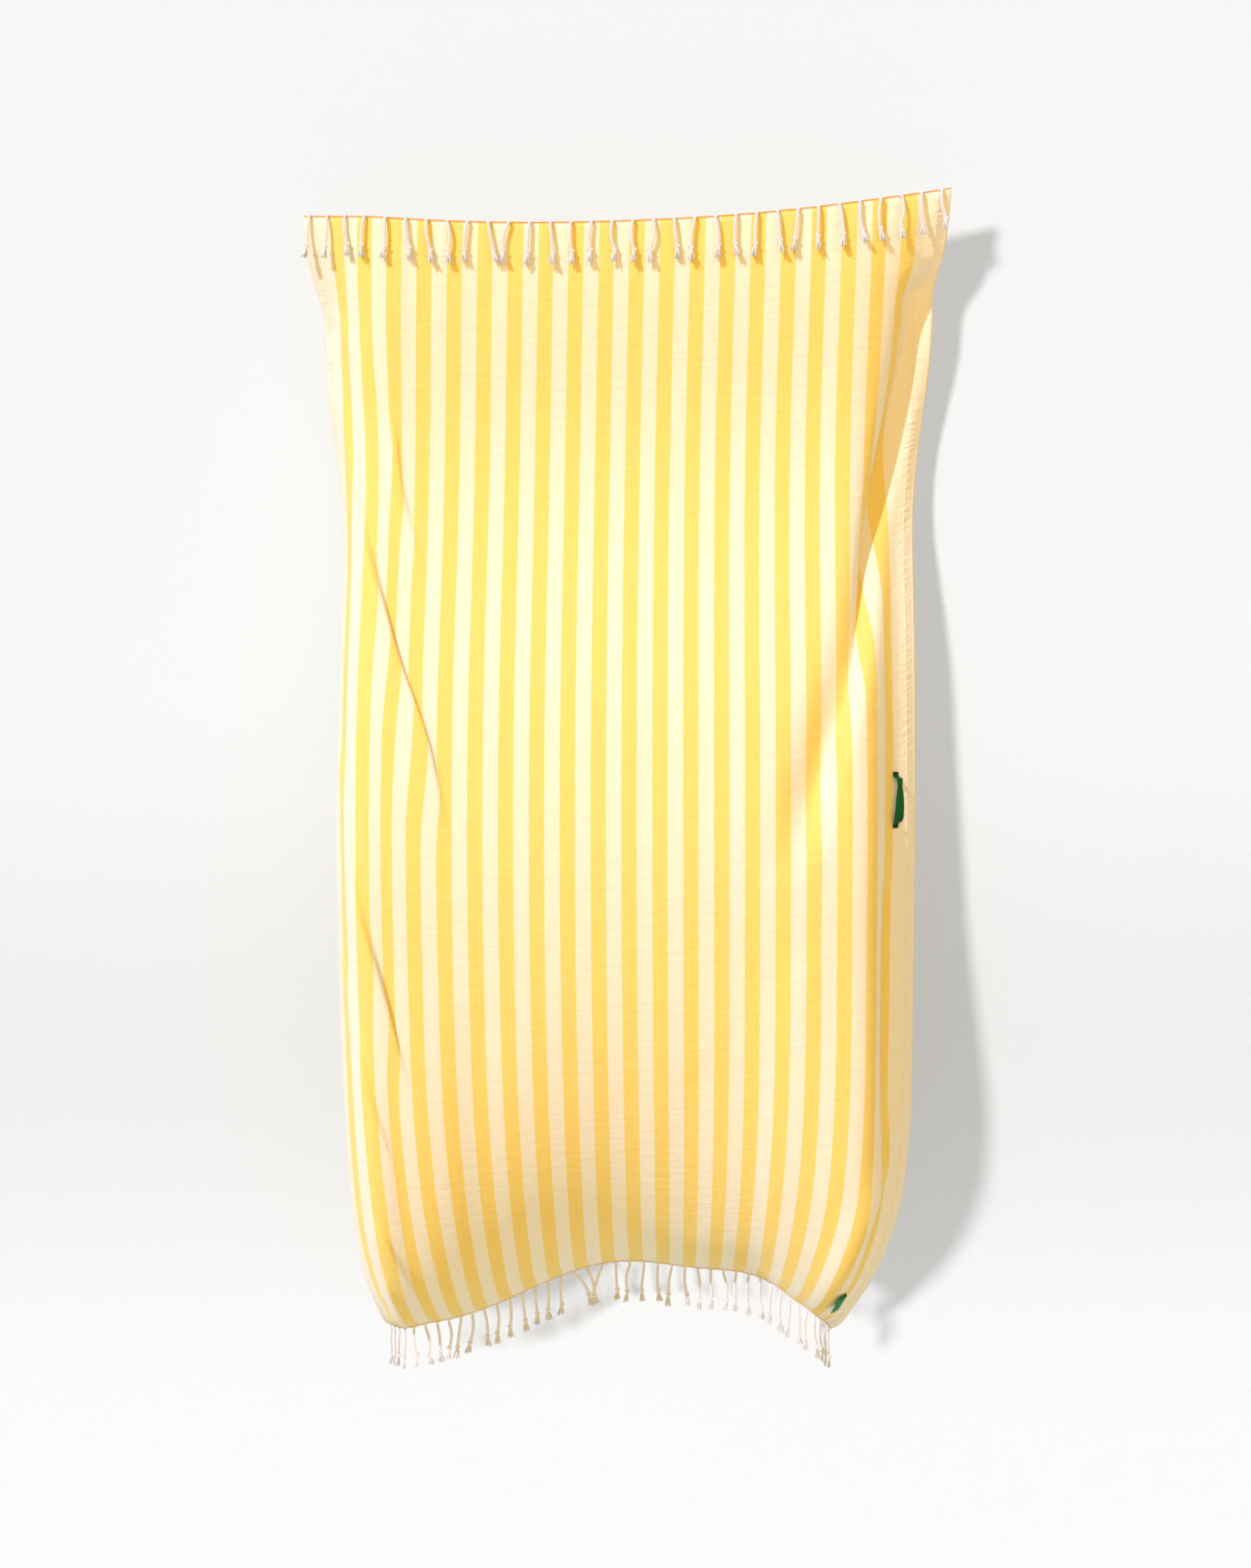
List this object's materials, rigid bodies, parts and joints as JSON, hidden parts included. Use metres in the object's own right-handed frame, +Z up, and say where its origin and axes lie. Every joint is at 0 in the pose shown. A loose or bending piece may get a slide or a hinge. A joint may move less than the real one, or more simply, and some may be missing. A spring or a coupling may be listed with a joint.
{
  "type": "fringed hammam towel",
  "caption": "Flat woven striped bath or beach towel hanging from its two top corners, with knotted fringes, a ribbon hanging loop and a care label.",
  "frame": {"origin": "midpoint between the two top corners, where the towel is held up", "axes": "+Z up along the hanging length, +X to the right across the width seen from the front, front face towards -Y"},
  "size_m": [0.9905, 0.4329, 1.8731],
  "materials": {
    "woven_cotton": "matte",
    "yellow_thread": "satin",
    "cream_thread": "satin",
    "fringe_cotton": "matte",
    "green_ribbon": "satin"
  },
  "bodies": {
    "towel": {"towel_cloth": "woven_cotton", "top_edge_thread": "yellow_thread", "bottom_edge_thread": "yellow_thread", "left_hem_stitch": "cream_thread", "right_hem_stitch": "cream_thread", "loop_tab_upper": "green_ribbon", "loop_tab_lower": "green_ribbon"},
    "hanging_loop": {"hanging_loop": "green_ribbon"},
    "care_label": {"care_label": "green_ribbon"},
    "top_tassels_01": {"top_tassels_01": "fringe_cotton"},
    "top_tassels_02": {"top_tassels_02": "fringe_cotton"},
    "top_tassels_03": {"top_tassels_03": "fringe_cotton"},
    "top_tassels_04": {"top_tassels_04": "fringe_cotton"},
    "top_tassels_05": {"top_tassels_05": "fringe_cotton"},
    "top_tassels_06": {"top_tassels_06": "fringe_cotton"},
    "top_tassels_07": {"top_tassels_07": "fringe_cotton"},
    "top_tassels_08": {"top_tassels_08": "fringe_cotton"},
    "top_tassels_09": {"top_tassels_09": "fringe_cotton"},
    "top_tassels_10": {"top_tassels_10": "fringe_cotton"},
    "top_tassels_11": {"top_tassels_11": "fringe_cotton"},
    "top_tassels_12": {"top_tassels_12": "fringe_cotton"},
    "top_tassels_13": {"top_tassels_13": "fringe_cotton"},
    "top_tassels_14": {"top_tassels_14": "fringe_cotton"},
    "top_tassels_15": {"top_tassels_15": "fringe_cotton"},
    "top_tassels_16": {"top_tassels_16": "fringe_cotton"},
    "bottom_tassels_01": {"bottom_tassels_01": "fringe_cotton"},
    "bottom_tassels_02": {"bottom_tassels_02": "fringe_cotton"},
    "bottom_tassels_03": {"bottom_tassels_03": "fringe_cotton"},
    "bottom_tassels_04": {"bottom_tassels_04": "fringe_cotton"},
    "bottom_tassels_05": {"bottom_tassels_05": "fringe_cotton"},
    "bottom_tassels_06": {"bottom_tassels_06": "fringe_cotton"},
    "bottom_tassels_07": {"bottom_tassels_07": "fringe_cotton"},
    "bottom_tassels_08": {"bottom_tassels_08": "fringe_cotton"},
    "bottom_tassels_09": {"bottom_tassels_09": "fringe_cotton"},
    "bottom_tassels_10": {"bottom_tassels_10": "fringe_cotton"},
    "bottom_tassels_11": {"bottom_tassels_11": "fringe_cotton"},
    "bottom_tassels_12": {"bottom_tassels_12": "fringe_cotton"},
    "bottom_tassels_13": {"bottom_tassels_13": "fringe_cotton"},
    "bottom_tassels_14": {"bottom_tassels_14": "fringe_cotton"},
    "bottom_tassels_15": {"bottom_tassels_15": "fringe_cotton"},
    "bottom_tassels_16": {"bottom_tassels_16": "fringe_cotton"},
    "bottom_tassels_17": {"bottom_tassels_17": "fringe_cotton"},
    "bottom_tassels_18": {"bottom_tassels_18": "fringe_cotton"},
    "bottom_tassels_19": {"bottom_tassels_19": "fringe_cotton"},
    "bottom_tassels_20": {"bottom_tassels_20": "fringe_cotton"},
    "bottom_tassels_21": {"bottom_tassels_21": "fringe_cotton"}
  },
  "joints": [
    {"name": "hanging_loop_flap", "type": "hinge", "parent": "towel", "child": "hanging_loop", "pos_m": [0.41372, -0.02645, -0.91208], "axis": [-0.0024, 0.0005, -1], "range_deg": [-45, 45]},
    {"name": "care_label_flap", "type": "hinge", "parent": "towel", "child": "care_label", "pos_m": [0.34587, 0.13925, -1.71424], "axis": [-0.2624, 0.6731, -0.6914], "range_deg": [-120, 0]},
    {"name": "top_tassels_01_swing", "type": "hinge", "parent": "towel", "child": "top_tassels_01", "pos_m": [-0.46973, -0.00262, -0.02077], "axis": [0.9022, -0.4178, -0.1072], "range_deg": [-150, 0]},
    {"name": "top_tassels_02_swing", "type": "hinge", "parent": "towel", "child": "top_tassels_02", "pos_m": [-0.41097, -0.02617, -0.02696], "axis": [0.9492, -0.3024, -0.0871], "range_deg": [-150, 0]},
    {"name": "top_tassels_03_swing", "type": "hinge", "parent": "towel", "child": "top_tassels_03", "pos_m": [-0.34824, -0.03672, -0.03186], "axis": [0.9978, -0.014, -0.0651], "range_deg": [-150, 0]},
    {"name": "top_tassels_04_swing", "type": "hinge", "parent": "towel", "child": "top_tassels_04", "pos_m": [-0.2855, -0.03705, -0.03534], "axis": [0.999, 0, -0.0456], "range_deg": [-150, 0]},
    {"name": "top_tassels_05_swing", "type": "hinge", "parent": "towel", "child": "top_tassels_05", "pos_m": [-0.223, -0.03705, -0.03757], "axis": [0.9997, 0, -0.0252], "range_deg": [-150, 0]},
    {"name": "top_tassels_06_swing", "type": "hinge", "parent": "towel", "child": "top_tassels_06", "pos_m": [-0.1605, -0.03705, -0.03847], "axis": [1, 0, -0.005], "range_deg": [-150, 0]},
    {"name": "top_tassels_07_swing", "type": "hinge", "parent": "towel", "child": "top_tassels_07", "pos_m": [-0.09799, -0.03705, -0.03826], "axis": [0.9999, 0, 0.0116], "range_deg": [-150, 0]},
    {"name": "top_tassels_08_swing", "type": "hinge", "parent": "towel", "child": "top_tassels_08", "pos_m": [-0.03549, -0.03705, -0.03696], "axis": [0.9996, 0, 0.0285], "range_deg": [-150, 0]},
    {"name": "top_tassels_09_swing", "type": "hinge", "parent": "towel", "child": "top_tassels_09", "pos_m": [0.02701, -0.03705, -0.03483], "axis": [0.9992, 0, 0.0394], "range_deg": [-150, 0]},
    {"name": "top_tassels_10_swing", "type": "hinge", "parent": "towel", "child": "top_tassels_10", "pos_m": [0.08951, -0.03705, -0.03188], "axis": [0.9984, 0, 0.0563], "range_deg": [-150, 0]},
    {"name": "top_tassels_11_swing", "type": "hinge", "parent": "towel", "child": "top_tassels_11", "pos_m": [0.15201, -0.03705, -0.02785], "axis": [0.9973, 0, 0.0728], "range_deg": [-150, 0]},
    {"name": "top_tassels_12_swing", "type": "hinge", "parent": "towel", "child": "top_tassels_12", "pos_m": [0.21451, -0.03705, -0.02269], "axis": [0.9957, 0, 0.0928], "range_deg": [-150, 0]},
    {"name": "top_tassels_13_swing", "type": "hinge", "parent": "towel", "child": "top_tassels_13", "pos_m": [0.27701, -0.03705, -0.01622], "axis": [0.9936, 0, 0.1129], "range_deg": [-150, 0]},
    {"name": "top_tassels_14_swing", "type": "hinge", "parent": "towel", "child": "top_tassels_14", "pos_m": [0.33959, -0.03696, -0.0085], "axis": [0.9912, 0.0041, 0.132], "range_deg": [-150, 0]},
    {"name": "top_tassels_15_swing", "type": "hinge", "parent": "towel", "child": "top_tassels_15", "pos_m": [0.40245, -0.03381, 0.00062], "axis": [0.9839, 0.0915, 0.1537], "range_deg": [-150, 0]},
    {"name": "top_tassels_16_swing", "type": "hinge", "parent": "towel", "child": "top_tassels_16", "pos_m": [0.46479, -0.02691, 0.01105], "axis": [0.9776, 0.1179, 0.1743], "range_deg": [-150, 0]},
    {"name": "bottom_tassels_01_swing", "type": "hinge", "parent": "towel", "child": "bottom_tassels_01", "pos_m": [-0.38454, 0.27417, -1.78764], "axis": [0.3802, -0.9166, 0.1233], "range_deg": [-75, 60]},
    {"name": "bottom_tassels_02_swing", "type": "hinge", "parent": "towel", "child": "bottom_tassels_02", "pos_m": [-0.36443, 0.23444, -1.78144], "axis": [0.603, -0.7763, 0.1838], "range_deg": [-75, 15]},
    {"name": "bottom_tassels_03_swing", "type": "hinge", "parent": "towel", "child": "bottom_tassels_03", "pos_m": [-0.3339, 0.21299, -1.77273], "axis": [0.9614, -0.1031, 0.255], "range_deg": [-75, 60]},
    {"name": "bottom_tassels_04_swing", "type": "hinge", "parent": "towel", "child": "bottom_tassels_04", "pos_m": [-0.29656, 0.21777, -1.76608], "axis": [0.9487, 0.2989, 0.1033], "range_deg": [-75, 15]},
    {"name": "bottom_tassels_05_swing", "type": "hinge", "parent": "towel", "child": "bottom_tassels_05", "pos_m": [-0.25959, 0.23428, -1.76042], "axis": [0.8776, 0.452, 0.16], "range_deg": [-75, 60]},
    {"name": "bottom_tassels_06_swing", "type": "hinge", "parent": "towel", "child": "bottom_tassels_06", "pos_m": [-0.22146, 0.25612, -1.75172], "axis": [0.8369, 0.501, 0.2203], "range_deg": [-75, 60]},
    {"name": "bottom_tassels_07_swing", "type": "hinge", "parent": "towel", "child": "bottom_tassels_07", "pos_m": [-0.18119, 0.28041, -1.74012], "axis": [0.8265, 0.4971, 0.2642], "range_deg": [-75, 60]},
    {"name": "bottom_tassels_08_swing", "type": "hinge", "parent": "towel", "child": "bottom_tassels_08", "pos_m": [-0.13994, 0.30414, -1.72675], "axis": [0.8484, 0.4505, 0.2779], "range_deg": [-75, 60]},
    {"name": "bottom_tassels_09_swing", "type": "hinge", "parent": "towel", "child": "bottom_tassels_09", "pos_m": [-0.09684, 0.32421, -1.71358], "axis": [0.8949, 0.3651, 0.2565], "range_deg": [-75, 60]},
    {"name": "bottom_tassels_10_swing", "type": "hinge", "parent": "towel", "child": "bottom_tassels_10", "pos_m": [-0.05133, 0.33758, -1.7033], "axis": [0.9603, 0.2142, 0.1788], "range_deg": [-75, 60]},
    {"name": "bottom_tassels_11_swing", "type": "hinge", "parent": "towel", "child": "bottom_tassels_11", "pos_m": [-0.0042, 0.3422, -1.69816], "axis": [0.9988, 0, 0.0499], "range_deg": [-75, 60]},
    {"name": "bottom_tassels_12_swing", "type": "hinge", "parent": "towel", "child": "bottom_tassels_12", "pos_m": [0.04292, 0.33758, -1.69815], "axis": [0.975, -0.2174, -0.0462], "range_deg": [-75, 60]},
    {"name": "bottom_tassels_13_swing", "type": "hinge", "parent": "towel", "child": "bottom_tassels_13", "pos_m": [0.08843, 0.32421, -1.70039], "axis": [0.9253, -0.3775, -0.0359], "range_deg": [-75, 60]},
    {"name": "bottom_tassels_14_swing", "type": "hinge", "parent": "towel", "child": "bottom_tassels_14", "pos_m": [0.13153, 0.30414, -1.70064], "axis": [0.8829, -0.4688, 0.0279], "range_deg": [-75, 60]},
    {"name": "bottom_tassels_15_swing", "type": "hinge", "parent": "towel", "child": "bottom_tassels_15", "pos_m": [0.17277, 0.28041, -1.69918], "axis": [0.8565, -0.5156, 0.0249], "range_deg": [-75, 60]},
    {"name": "bottom_tassels_16_swing", "type": "hinge", "parent": "towel", "child": "bottom_tassels_16", "pos_m": [0.21228, 0.25612, -1.70276], "axis": [0.8324, -0.5276, -0.1697], "range_deg": [-75, 60]},
    {"name": "bottom_tassels_17_swing", "type": "hinge", "parent": "towel", "child": "bottom_tassels_17", "pos_m": [0.24571, 0.23428, -1.71505], "axis": [0.7641, -0.4909, -0.4185], "range_deg": [-75, 60]},
    {"name": "bottom_tassels_18_swing", "type": "hinge", "parent": "towel", "child": "bottom_tassels_18", "pos_m": [0.27407, 0.21777, -1.73212], "axis": [0.7948, -0.3455, -0.499], "range_deg": [-75, 15]},
    {"name": "bottom_tassels_19_swing", "type": "hinge", "parent": "towel", "child": "bottom_tassels_19", "pos_m": [0.30104, 0.21333, -1.75084], "axis": [0.7814, 0.1392, -0.6083], "range_deg": [-75, 60]},
    {"name": "bottom_tassels_20_swing", "type": "hinge", "parent": "towel", "child": "bottom_tassels_20", "pos_m": [0.32053, 0.23653, -1.76955], "axis": [0.3438, 0.8455, -0.4085], "range_deg": [-75, 15]},
    {"name": "bottom_tassels_21_swing", "type": "hinge", "parent": "towel", "child": "bottom_tassels_21", "pos_m": [0.33365, 0.27725, -1.78819], "axis": [0.2861, 0.8518, -0.4388], "range_deg": [-75, 60]}
  ]
}
